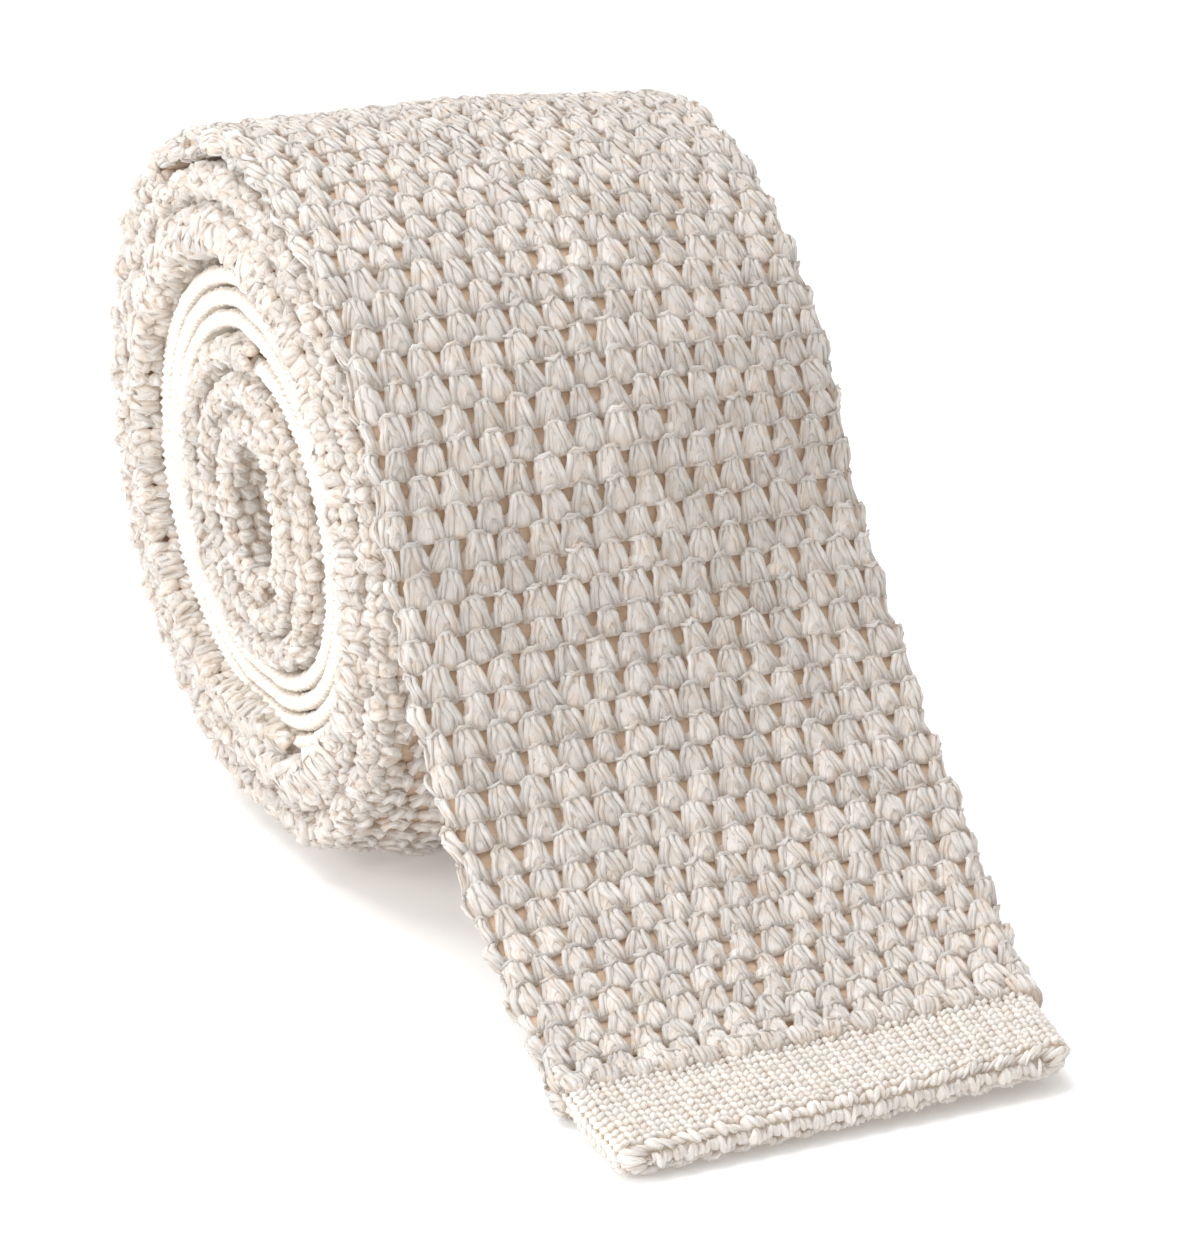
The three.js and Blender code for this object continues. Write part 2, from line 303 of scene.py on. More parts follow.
def wound_strip(first, last, thick, width, left_edge, roofed=False):
    k = np.arange(first, last + FINE_STEP / 2, FINE_STEP)
    y, z = wound_points(k, thick)
    x = left_edge + width / 2 - TELESCOPE * np.minimum(WINDING_END - k, BLADE_STEPS) / TURN
    angle = np.mod(angle_at(k) + 180, 360) - 180
    left, right = (np.interp(angle, ROOF[:, 0], ROOF[:, i]) * roofed for i in (1, 2))
    same = np.ones_like(k)
    return [x, y, z + ROLL_HEIGHT, 0 * same, width * same, left, right]


def free_run(wound):
    """The run from the roll's front: a bend, then a flat end on the floor."""
    leave = np.array([wound[1][-1], wound[2][-1]])
    heading = leave - (wound[1][-2], wound[2][-2])
    heading /= np.linalg.norm(heading)
    land = np.array([-RUN_REACH, RUN_LEVEL])
    span = np.linalg.norm(land - leave)
    upper, lower = leave + heading * span * RUN_UPPER_PULL, land + (span * RUN_LOWER_PULL, 0)
    t = np.linspace(0, 1, 161)[:, None]
    bend = (1 - t) ** 3 * leave + 3 * (1 - t) ** 2 * t * upper + 3 * (1 - t) * t**2 * lower + t**3 * land
    flat = np.column_stack([-RUN_REACH - np.linspace(0, RUN_FLAT, 33)[1:], np.full(32, RUN_LEVEL)])
    line = np.vstack([bend, flat])
    s = np.r_[0, np.cumsum(np.linalg.norm(np.diff(line, axis=0), axis=1))]
    along = s / s[-1]
    x = np.tan(math.radians(RUN_SWAY_DEG) * along / 2) * (line[:, 0] - leave[0])
    x -= TIP_SHIFT * smooth((along - 0.6) / 0.3)
    yaw = math.radians(TIP_TURN_DEG) * smooth((along - TIP_TURN_FROM) / (1 - TIP_TURN_FROM))
    left, right, share = (np.interp(along, RUN_SHAPE[:, 0], RUN_SHAPE[:, i]) for i in (1, 2, 3))
    return [x, line[:, 0], line[:, 1], yaw, BLADE_WIDTH * share, left, right], s


wound_blade = wound_strip(NECK_END, WINDING_END, BLADE_THICK, BLADE_WIDTH, LEFT_EDGE, True)
run, run_s = free_run(wound_blade)
run_cut = run_s[-1] - END_BAND_LENGTH - END_GAP
blade_rows = [np.r_[a, b[run_s <= run_cut][1:]] for a, b in zip(wound_blade, run)]
blade = Strip(blade_rows, BLADE_THICK, ridge=RIDGE_SOFTNESS, lobe=EDGE_LOBE)

band_rows = [q[run_s >= run_cut + END_GAP].copy() for q in run]
band_s = run_s[run_s >= run_cut + END_GAP] - run_cut - END_GAP
in_corner = np.clip((band_s - END_BAND_LENGTH + END_CORNER) / END_CORNER, 0, 1)
band_rows[2] -= END_BAND_SETTLE
band_rows[4] = END_BAND_WIDTH - END_BAND_TAPER * band_s / END_BAND_LENGTH
band_rows[4] -= 2 * END_CORNER * (1 - np.sqrt(1 - in_corner**2))
end_band = Strip(band_rows, END_BAND_THICK, ridge=RIDGE_SOFTNESS, tip=END_TIP_RADIUS)

neck_left = LEFT_EDGE + NECK_RECESS
neck = Strip(wound_strip(TAIL_END, NECK_END, NECK_THICK, NECK_WIDTH, neck_left), NECK_THICK)
tail_left = LEFT_EDGE + TAIL_RECESS
tail = Strip(wound_strip(TAIL_BAND_END, TAIL_END, TAIL_THICK, TAIL_WIDTH, tail_left), TAIL_THICK)
tail_band_width = TAIL_WIDTH - 2 * TAIL_BAND_INSET
tail_band_left = tail_left + TAIL_BAND_INSET
tail_band = Strip(
    wound_strip(0, TAIL_BAND_END, TAIL_BAND_THICK, tail_band_width, tail_band_left), TAIL_BAND_THICK
)

# The part is centred on the origin: how far that moves it from the eye
blade_low, blade_high = (np.array(corner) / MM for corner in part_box("front_blade"))
SHIFT = np.array(
    [
        blade_low[0] - LEFT_EDGE + TELESCOPE * BLADE_STEPS / TURN,
        blade_high[1] - blade.table[:, 1].max() - BLADE_THICK / 2,
        0.0,
    ]
)


def push_on(bm, edges):
    """Extrudes a closed ring of edges and gives the new ring's vertices and edges."""
    new = bmesh.ops.extrude_edge_only(bm, edges=edges)["geom"]
    ring = [q for q in new if isinstance(q, bmesh.types.BMVert)]
    inside = set(ring)
    return ring, [q for q in new if isinstance(q, bmesh.types.BMEdge) and set(q.verts) <= inside]


def yarn_length(points, sides):
    """A closed tube through rows of across, along, height, half width and half thickness."""
    bm = bmesh.new()
    run_layer = bm.verts.layers.float.new("run")
    around_layer = bm.verts.layers.float.new("around")
    rows = np.array(points, float)
    steps = np.linalg.norm(np.diff(rows[:, :3], axis=0), axis=1)
    run_length = np.r_[0, np.cumsum(steps)]
    heads = np.gradient(rows[:, :3], axis=0)
    ring = bmesh.ops.create_circle(bm, segments=sides, radius=1.0)["verts"]
    first = edges = list(bm.edges)
    unit = [v.co.copy() for v in ring]
    for i, row in enumerate(rows):
        if i:
            ring, edges = push_on(bm, edges)
        side = np.cross(heads[i], (0.0, 0.0, 1.0))
        side /= max(np.linalg.norm(side), 1e-6)
        top = np.cross(side, heads[i])
        top /= np.linalg.norm(top)
        for v, u in zip(ring, unit):
            v.co = row[:3] + row[3] * side * u.x + row[-1] * top * u.y
            v[run_layer] = run_length[i]
            v[around_layer] = math.atan2(u.y, u.x)
    bmesh.ops.holes_fill(bm, edges=first + edges, sides=0)
    bmesh.ops.recalc_face_normals(bm, faces=bm.faces)
    return bm


def stitch(lengths, sides, shake=0.0, seed=0, cushion=None):
    """A stitch made of several yarn lengths, as plain arrays ready to be repeated."""
    rng = np.random.default_rng(seed)
    places, fibres, faces, start = [], [], [], 0
    for n, points in enumerate(lengths + ([cushion] if cushion else [])):
        rows = np.array(points, float)
        loose = CUSHION_SHAKE if points is cushion else shake
        rows[:, :3] += rng.normal(0, loose, (1, 3)) + rng.normal(0, loose * 0.6, (len(rows), 3))
        bm = yarn_length(rows, CUSHION_SIDES if points is cushion else sides)
        run_layer = bm.verts.layers.float["run"]
        around_layer = bm.verts.layers.float["around"]
        bm.verts.index_update()
        places += [v.co[:] for v in bm.verts]
        around = [v[around_layer] for v in bm.verts]
        fibres += [
            (v[run_layer] + 7.0 * n, math.cos(a) + 3.0 * n, math.sin(a)) for v, a in zip(bm.verts, around)
        ]
        # Strip places are left-handed, so the corners go the other way round
        faces += [[start + v.index for v in reversed(f.verts)] for f in bm.faces]
        start = len(places)
        bm.free()
    return {"places": np.array(places), "fibres": np.array(fibres), "faces": faces}


CUSHION_SIDES = 8
CUSHION_SHAKE = 0.03


def hanging(t, right_higher=0.12):
    """One filament of an openwork stitch: from its crest over the hood and down into a leg."""
    side = 1.0 if t > 0 else -1.0
    rise = right_higher * t
    near = abs(t)
    return [
        (0.80 * t, -1.52 + 0.40 * near**2, 0.42, 0.22, 0.16),
        (0.98 * t, -1.05 + 0.30 * near**2, 0.86 - 0.15 * near**2, 0.34, 0.21),
        (1.06 * t, -0.30, 0.87 - 0.18 * near**2 + rise, 0.36, 0.21),
        (side * (0.42 + 0.95 * near), 0.75, 0.60 + rise, 0.35, 0.21),
        (side * (0.58 + 1.10 * near), 2.15, 0.44, 0.31, 0.20),
    ]


# One openwork stitch: filaments hanging from a twisted crest over a bell-shaped body, the loop
# inside it, and the body itself, which meets its neighbours below and leaves holes between crests.
# Each row is across, along, height off the strip, half width and, where it differs, half thickness
CREST = [
    [
        (-1.15, -0.85, 0.50, 0.17),
        (-0.45, -1.45, 0.84, 0.22),
        (0.35, -1.25, 0.95, 0.22),
        (1.10, -1.10, 0.62, 0.17),
    ],
    [
        (-1.12, -1.20, 0.50, 0.17),
        (-0.35, -1.15, 0.90, 0.22),
        (0.45, -1.50, 0.86, 0.22),
        (1.18, -0.80, 0.55, 0.17),
    ],
]
LOOP = [
    [
        (-0.55, 2.3, 0.34, 0.22),
        (-0.42, 1.35, 0.44, 0.25),
        (0.04, 0.85, 0.52, 0.26),
        (0.48, 1.35, 0.46, 0.25),
        (0.58, 2.3, 0.36, 0.22),
    ],
]
BELL = [
    (0.0, -1.55, 0.10, 0.95, 0.40),
    (0.0, -1.00, 0.10, 1.18, 0.68),
    (0.0, 0.30, 0.10, 1.16, 0.68),
    (0.0, 0.85, 0.05, 2.05, 0.58),
    (0.0, 1.80, 0.05, 2.20, 0.52),
    (0.0, 2.45, -0.05, 2.10, 0.38),
]
# Where the filaments hang, from the stitch's left side to its right
SPREAD = (-1.0, -0.52, 0.06, 0.55, 1.0)
HANGING = [hanging(t) for t in SPREAD]
VARIANTS = 12
SHAKE = 0.10
YARN_SIDES = 4


def closing(t):
    """One filament of the last openwork row, which ends in a round lobe on the fine band."""
    near = abs(t)
    return hanging(t)[:3] + [
        (1.12 * t, 0.70, 0.66 - 0.25 * near**2, 0.34, 0.21),
        (0.85 * t, 1.50 - 0.30 * near**2, 0.22 - 0.2 * near**2, 0.28, 0.20),
        (0.40 * t, 1.95 - 0.30 * near**2, -0.35, 0.18, 0.15),
    ]


LOBE = BELL[:2] + [
    (0.0, 0.30, 0.10, 1.22, 0.66),
    (0.0, 1.10, -0.05, 1.05, 0.55),
    (0.0, 1.70, -0.45, 0.60, 0.30),
]
def variants(lengths, cushion):
    """A dozen of one stitch, each with its yarn lying a little otherwise."""
    return [stitch(lengths, YARN_SIDES, SHAKE, seed, cushion) for seed in range(VARIANTS)]


openwork_stitches = variants(HANGING + CREST + LOOP, BELL)
closing_stitches = variants([closing(t) for t in SPREAD] + CREST, LOBE)

# The plain stitch of the hidden faces: two thick legs under one crest
LEG_HALF_WIDTH = 0.54
LEG_HALF_THICK = 0.48
thick_legs = [
    [(*row[:3], LEG_HALF_WIDTH, LEG_HALF_THICK) for row in HANGING[i][1::2] + HANGING[i][4:]] for i in (1, 3)
]
plain_stitches = variants(thick_legs + CREST[:1], BELL[1:5])

# One knob of the edges, where the stitches turn over and bunch up
KNOT = [
    [
        (-0.95, 0.55, 0.20, 0.30),
        (-0.60, -0.50, 0.60, 0.44),
        (0.35, -0.70, 0.66, 0.44),
        (0.95, 0.30, 0.25, 0.30),
    ],
    [
        (-0.80, -0.75, 0.20, 0.30),
        (-0.35, 0.15, 0.70, 0.46),
        (0.50, 0.40, 0.64, 0.44),
        (0.85, 0.95, 0.15, 0.30),
    ],
]
LUMP = [
    (0.0, -1.25, -0.05, 0.70, 0.30),
    (0.0, -0.50, 0.20, 1.20, 0.50),
    (0.0, 0.50, 0.20, 1.25, 0.50),
    (0.0, 1.25, -0.05, 0.80, 0.30),
]
knobs = variants(KNOT, LUMP)
KNOB_ACROSS = 2.15
KNOB_ALONG = 2.0

# One fine stitch: two fat grains in a V, and the rib that runs round the neck's edges
GRAIN = [
    (-0.62, -0.66, -0.04, 0.22),
    (-0.50, -0.28, 0.18, 0.39),
    (-0.32, 0.14, 0.20, 0.42),
    (-0.12, 0.58, 0.02, 0.24),
]
OTHER_GRAIN = [(-a, b + 0.06, h, r) for a, b, h, r in GRAIN]
FINE_SIDES = 5
FINE_SHAKE = 0.035
fine_stitches = [stitch([GRAIN, OTHER_GRAIN], FINE_SIDES, FINE_SHAKE, seed) for seed in range(VARIANTS)]
RIB = [
    (-2.2, -0.22, -0.20, 0.30),
    (-1.1, -0.10, 0.10, 0.50),
    (0.0, 0.0, 0.16, 0.52),
    (1.1, 0.10, 0.10, 0.50),
    (2.2, 0.22, -0.20, 0.30),
]
RIB_SHAKE = 0.03
ribs = [stitch([RIB], FINE_SIDES, RIB_SHAKE, seed) for seed in range(VARIANTS)]

# Waves of the slow wander of the yarn: length and size
DRIFT_WAVES = ((6.1, 0.30), (3.3, 0.28), (1.7, 0.20), (0.8, 0.12))


def drift(along, around, seed):
    """A slow wander, different from place to place and the same for neighbours."""
    rng = np.random.default_rng(seed)
    total = np.zeros_like(along)
    for wave, size in DRIFT_WAVES:
        for _ in range(2):
            way, start = rng.uniform(0, 2 * math.pi, 2)
            travel = along * math.cos(way) + around * math.sin(way)
            total += size * np.sin(2 * math.pi * travel / wave + start)
    return total


def courses(strip, from_s, to_s, across, along, chosen, origin=0.0, staggered=True):
    """Where stitches sit: rows along the strip, two and two shifted by half a stitch."""
    middle = np.array([(from_s + to_s) / 2])
    columns = round(float(strip.girth(middle)[0]) / across)
    first, last = math.ceil((from_s - origin) / along), math.floor((to_s - origin) / along)
    i, j = (q.ravel() for q in np.meshgrid(np.arange(columns), np.arange(first, last + 1)))
    shift = 0.5 * ((j // 2) % 2) if staggered else 0.0
    share = np.mod((i + shift) / columns, 1.0)
    keep = chosen(share, float(strip.edge_share(middle)[0]), 1.0 / columns)
    return origin + j[keep] * along, share[keep]


def outer_face(share, edge, one):
    return (share < edge + one) | (share > 1 - edge - one)


def inner_face(share, edge, one):
    return ~outer_face(share, edge, one)


def outer_only(share, edge, one):
    return (share < edge - one) | (share > 1 - edge + one)


def left_edge(share, edge, one):
    return np.abs(share - 1 + edge) < 2.3 * one


def left_edge_and_inside(share, edge, one):
    from_middle = share - 1 + edge
    return (from_middle > -3.3 * one) & (from_middle < 2.3 * one)


def right_edge(share, edge, one):
    return np.abs(share - edge) < 1.6 * one


def inside_by_right_edge(share, edge, one):
    from_middle = share - edge
    return (from_middle >= 1.6 * one) & (from_middle < 7.7 * one)


def right_edge_and_inside(share, edge, one):
    from_middle = share - edge
    return (from_middle > -3.0 * one) & (from_middle < 9.0 * one)


def everywhere(share, edge, one):
    return np.ones_like(share, bool)


def new_piece(name, mesh, material, slot):
    mesh.polygons.foreach_set("use_smooth", np.ones(len(mesh.polygons), bool))
    piece = bpy.data.objects.new(name, mesh)
    bpy.context.scene.collection.objects.link(piece)
    piece.data.materials.append(material)
    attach(piece, "root")
    return piece


# How much one stitch differs from the next: in size, and in its wander along the strip and off it
SIZE_SPREAD = 0.05
WANDER = 0.16
WANDER_OFF = 0.6
FIBRE_STARTS = 90


def lay(name, strip, stitches, at, finish, ground, seed, loose=1.0, swell=None, askew=0.08):
    """Repeats a stitch at places on a strip and joins the copies into one piece."""
    at_s, at_share = at
    rng = np.random.default_rng(seed)
    n = len(at_s)
    places = np.stack([q["places"] for q in stitches])[rng.integers(0, len(stitches), n)]
    turn = rng.normal(0, askew * loose, n)[:, None]
    grow = rng.normal(1, SIZE_SPREAD * loose, n)[:, None]
    a, b, h = (places[:, :, i] * grow for i in range(3))
    a, b = a * np.cos(turn) - b * np.sin(turn), a * np.sin(turn) + b * np.cos(turn)
    s = at_s[:, None] + b
    girth = strip.girth(at_s)[:, None]
    around = at_share[:, None] * girth + a
    wander = WANDER * loose
    s = s + wander * drift(s, around, seed + 10)
    around = around + wander * drift(s, around, seed + 20)
    h = h + WANDER_OFF * wander * drift(s, around, seed + 30) + ground
    if swell:
        h += swell(s, around, girth)
    co = strip.place(s.ravel(), (around / girth).ravel(), h.ravel()) + SHIFT

    count = places.shape[1]
    faces = stitches[0]["faces"]
    corners = np.concatenate(faces)[None, :] + np.arange(n)[:, None] * count
    sizes = np.tile([len(f) for f in faces], n)
    mesh = bpy.data.meshes.new(name)
    mesh.vertices.add(n * count)
    mesh.vertices.foreach_set("co", (co * MM).astype(np.float32).ravel())
    mesh.loops.add(corners.size)
    mesh.loops.foreach_set("vertex_index", corners.ravel().astype(np.int32))
    mesh.polygons.add(len(sizes))
    mesh.polygons.foreach_set("loop_start", np.r_[0, np.cumsum(sizes)[:-1]].astype(np.int32))
    mesh.update(calc_edges=True)
    low, high = places[:, :, 2].min(), places[:, :, 2].max()
    depth = mesh.attributes.new("depth", "FLOAT", "POINT")
    depth.data.foreach_set("value", ((places[:, :, 2] - low) / (high - low)).astype(np.float32).ravel())
    tone = mesh.attributes.new("tone", "FLOAT", "POINT")
    tone.data.foreach_set("value", np.repeat(rng.random(n), count).astype(np.float32))
    fibre = mesh.attributes.new("fibre", "FLOAT_VECTOR", "POINT")
    strands = stitches[0]["fibres"][None] + rng.uniform(0, FIBRE_STARTS, (n, 1, 1)) * (1, 0, 0)
    fibre.data.foreach_set("vector", strands.astype(np.float32).ravel())
    return new_piece(name, mesh, *finish)


FACE_POINTS = 15
EDGE_POINTS = 4
END_THINNING = 0.35


def ground_cloth(name, strip, half_thick, from_s, to_s, step, finish):
    """The close cloth in the depth of the knit: a ring pushed along the strip and closed."""
    bm = bmesh.new()
    middle = (from_s + to_s) / 2
    flat, girth = float(strip.flat(middle)[0]), float(strip.girth(middle)[0])
    face = np.linspace(-flat, flat, FACE_POINTS)
    edge = np.linspace(0, math.pi * strip.bend, EDGE_POINTS + 2)[1:-1]
    half = math.pi * strip.bend + flat
    around = np.r_[face, flat + edge, half + flat + face, half + 2 * flat + edge] / girth
    end = to_s + (strip.tip * (math.pi / 2 - 0.05) - strip.tip if strip.tip else 0)
    stations = np.linspace(from_s, end, int((end - from_s) / step) + 2)
    bmesh.ops.create_circle(bm, segments=len(around), radius=1.0)
    ring, edges = list(bm.verts), list(bm.edges)
    first = edges
    for i, s in enumerate(stations):
        if i:
            ring, edges = push_on(bm, edges)
        thin = END_THINNING if i == 0 or (i == len(stations) - 1 and not strip.tip) else 1.0
        height = np.full(len(around), half_thick * thin)
        for v, co in zip(ring, strip.place(np.full(len(around), s), around, height) + SHIFT):
            v.co = co * MM
    bmesh.ops.holes_fill(bm, edges=first + edges, sides=0)
    bmesh.ops.recalc_face_normals(bm, faces=bm.faces)
    mesh = bpy.data.meshes.new(name)
    bm.to_mesh(mesh)
    bm.free()
    return new_piece(name, mesh, *finish)


def node(tree, kind, **values):
    made = tree.nodes.new(kind)
    for key, value in values.items():
        setattr(made, key, value)
    return made


def new_material(name, roughness):
    material = bpy.data.materials.new(name)
    material.use_nodes = True
    shader = material.node_tree.nodes["Principled BSDF"]
    shader.inputs["Roughness"].default_value = roughness
    shader.inputs["Sheen Weight"].default_value = 0.3
    shader.inputs["Sheen Roughness"].default_value = 0.45
    return material, material.node_tree, shader


def two_colours(tree, low, high, from_share, to_share):
    ramp = node(tree, "ShaderNodeValToRGB")
    ramp.color_ramp.elements[0].position = from_share
    ramp.color_ramp.elements[0].color = (*low, 1)
    ramp.color_ramp.elements[1].position = to_share
    ramp.color_ramp.elements[1].color = (*high, 1)
    return ramp


def noise(tree, where, scale, detail):
    made = node(tree, "ShaderNodeTexNoise")
    made.inputs["Scale"].default_value = scale
    made.inputs["Detail"].default_value = detail
    tree.links.new(where, made.inputs["Vector"])
    return made.outputs["Fac"]


def remap(tree, value, low, high, new_low, new_high):
    made = node(tree, "ShaderNodeMapRange")
    for socket, number in zip(("From Min", "From Max", "To Min", "To Max"), (low, high, new_low, new_high)):
        made.inputs[socket].default_value = number
    tree.links.new(value, made.inputs["Value"])
    return made.outputs["Result"]


def raise_grain(tree, shader, height, strength, distance):
    bump = node(tree, "ShaderNodeBump")
    bump.inputs["Strength"].default_value = strength
    bump.inputs["Distance"].default_value = distance
    tree.links.new(height, bump.inputs["Height"])
    tree.links.new(bump.outputs["Normal"], shader.inputs["Normal"])


# Painted highlight: the highest yarn, on the crests, is coloured near white
PAINTED_HIGHLIGHT_AT = 0.9
PAINTED_HIGHLIGHT_COLOUR = (1.0, 0.98, 0.96, 1)
FIBRE_STRETCH = (0.15, 4.0, 4.0)
# Painted glow: a faint warm emission of the yarn that lifts its shade
PAINTED_GLOW_COLOUR = (1.0, 0.88, 0.76, 1)
PAINTED_GLOW = 0.12
SOAKED = 0.45


def silk(name, crown, shaded_depths, warm, deep_at, full_at, fibre_bump, roughness):
    """Silk yarn: ivory on its crowns and a painted beige shade lower in the knit, with a painted highlight on
    its crests, warm blotches, fine filaments and a faint painted glow.
    """
    material, tree, shader = new_material(name, roughness)
    link = tree.links.new
    depth = node(tree, "ShaderNodeAttribute", attribute_name="depth")
    tone = node(tree, "ShaderNodeAttribute", attribute_name="tone")
    fibre = node(tree, "ShaderNodeAttribute", attribute_name="fibre")
    # Painted shade: the colour runs from shaded_depths on the yarn lowest in the knit to crown on its tops
    ramp = two_colours(tree, shaded_depths, crown, deep_at, full_at)
    # Painted highlight on the crests
    ramp.color_ramp.elements.new(PAINTED_HIGHLIGHT_AT).color = PAINTED_HIGHLIGHT_COLOUR
    link(depth.outputs["Fac"], ramp.inputs["Fac"])
    stretch = node(tree, "ShaderNodeMapping")
    stretch.inputs["Scale"].default_value = FIBRE_STRETCH
    link(fibre.outputs["Vector"], stretch.inputs["Vector"])
    filaments = noise(tree, stretch.outputs["Vector"], 1.5, 2.0)
    value = node(tree, "ShaderNodeMath", operation="MULTIPLY")
    link(remap(tree, tone.outputs["Fac"], 0.0, 1.0, 0.93, 1.04), value.inputs[0])
    link(remap(tree, filaments, 0.3, 0.7, 0.88, 1.08), value.inputs[1])
    place = node(tree, "ShaderNodeTexCoord")
    blotches = noise(tree, place.outputs["Object"], 650.0, 1.5)
    warmed = node(tree, "ShaderNodeMix", data_type="RGBA")
    plain, tinted = (q for q in warmed.inputs if q.type == "RGBA")
    tinted.default_value = (*warm, 1)
    link(remap(tree, blotches, 0.46, 0.66, 0.0, 0.5), warmed.inputs[0])
    link(ramp.outputs["Color"], plain)
    vary = node(tree, "ShaderNodeHueSaturation")
    link(value.outputs["Value"], vary.inputs["Value"])
    link(next(q for q in warmed.outputs if q.type == "RGBA"), vary.inputs["Color"])
    link(vary.outputs["Color"], shader.inputs["Base Color"])
    raise_grain(tree, shader, filaments, fibre_bump, 0.0003)
    shader.inputs["Specular IOR Level"].default_value = 0.4
    # Light that soaks through the yarn, and a painted glow: a faint warm emission that stands in for the
    # light it scatters inside and lifts the shade in its crevices
    shader.inputs["Emission Color"].default_value = PAINTED_GLOW_COLOUR
    shader.inputs["Emission Strength"].default_value = PAINTED_GLOW
    through = node(tree, "ShaderNodeBsdfTranslucent")
    link(vary.outputs["Color"], through.inputs["Color"])
    soaked = node(tree, "ShaderNodeMixShader")
    soaked.inputs["Fac"].default_value = SOAKED
    link(shader.outputs["BSDF"], soaked.inputs[1])
    link(through.outputs["BSDF"], soaked.inputs[2])
    link(soaked.outputs["Shader"], tree.nodes["Material Output"].inputs["Surface"])
    return material


def backing(name, light, dark, grain_size, bump_strength):
    """The cloth deep in the knit, seen through its holes, coloured darker and warmer than the yarn as painted
    shade.
    """
    material, tree, shader = new_material(name, 0.85)
    link = tree.links.new
    place = node(tree, "ShaderNodeTexCoord")
    grain = noise(tree, place.outputs["Object"], grain_size, 3.0)
    ramp = two_colours(tree, dark, light, 0.3, 0.7)
    link(grain, ramp.inputs["Fac"])
    link(ramp.outputs["Color"], shader.inputs["Base Color"])
    raise_grain(tree, shader, grain, bump_strength, 0.0005)
    return material


OPENWORK = "openwork_knit"
FINE = "fine_knit"
openwork_silk = (
    silk(
        "openwork_silk",
        crown=(0.97, 0.945, 0.915),
        shaded_depths=(0.84, 0.73, 0.62),
        warm=(0.90, 0.77, 0.64),
        deep_at=0.2,
        full_at=0.62,
        fibre_bump=0.8,
        roughness=0.45,
    ),
    OPENWORK,
)
fine_silk = (
    silk(
        "fine_silk",
        crown=(0.86, 0.84, 0.81),
        shaded_depths=(0.82, 0.74, 0.66),
        warm=(0.84, 0.77, 0.69),
        deep_at=0.0,
        full_at=0.5,
        fibre_bump=0.3,
        roughness=0.5,
    ),
    FINE,
)
# Painted shade: the backings are coloured darker and warmer than their yarn, the openwork's a deep tan,
# standing for the shaded cloth seen through the holes
shaded_backing = (backing("shaded_backing", (0.62, 0.46, 0.33), (0.48, 0.34, 0.23), 900.0, 0.5), OPENWORK)
fine_backing = (backing("fine_backing", (0.86, 0.79, 0.70), (0.78, 0.69, 0.59), 1200.0, 0.5), FINE)

# Parts of the wide blade, by the length along it: the turn round the narrow strips, the back,
# the top that the camera sees, and the free run
run_starts = float(np.hypot(np.diff(wound_blade[1]), np.diff(wound_blade[2])).sum())
top_starts = run_starts - 84.0
second_turn = 218.0
outer_starts = run_starts - 276.0
A_HAIR = 0.01

# How far the stitches of each kind stand off the middle of their strip
OPENWORK_STANDS = 0.92
UNDERSIDE_STANDS = 0.9
KNOBS_STAND = 1.15
TAIL_KNOBS_STAND = 1.0
TAIL_EDGE_STANDS = 0.8
BAND_STANDS = 1.42
TAIL_BAND_STANDS = 1.15
RIBS_STAND = 0.62

# How loosely the fine knit lies, and how far the knobs turn
FINE_LOOSE = 0.55
RIBS_LOOSE = 0.5
KNOB_ASKEW = 0.7
LAST_ROW_AT = 1.0
LAST_ROW_LIFT = 0.85

# The filling between the wide blade's first turn and the narrow strips inside it
INNER_BULGE = 1.9
STEP_OVER = 176.0
STEP_BULGE = 2.8
START_TAPER = 0.14


def blade_courses(from_s, to_s, chosen):
    return courses(blade, from_s, to_s, STITCH_ACROSS, STITCH_ALONG, chosen, blade.length + LAST_ROW_AT)


def over_band(s, around, girth):
    """The last openwork row rides up over the fine band's upper edge."""
    return LAST_ROW_LIFT * smooth((s - blade.length + 2.0) / 3.0)


def inner_filling(s, around, girth):
    """The first turn's edge bulges inward against the narrow part, most where it steps over."""
    inner = smooth((girth * (1 - blade.edge_share(60.0)) - around) / 1.5)
    steps_over = smooth((s - STEP_OVER) / 14)
    bulge = INNER_BULGE * (1 - steps_over) + STEP_BULGE * steps_over * (1 - smooth((s - second_turn + 2) / 8))
    return inner * bulge + START_TAPER * np.minimum(s, 0)


def blade_edge(name, from_s, to_s, chosen, seed, swell=None):
    at = courses(blade, from_s, to_s, KNOB_ACROSS, KNOB_ALONG, chosen)
    return lay(name, blade, knobs, at, openwork_silk, KNOBS_STAND, seed, swell=swell, askew=KNOB_ASKEW)


def blade_face(name, stitches, from_s, to_s, chosen, seed, stands=OPENWORK_STANDS, swell=None):
    at = blade_courses(from_s, to_s, chosen)
    return lay(name, blade, stitches, at, openwork_silk, stands, seed, swell=swell)


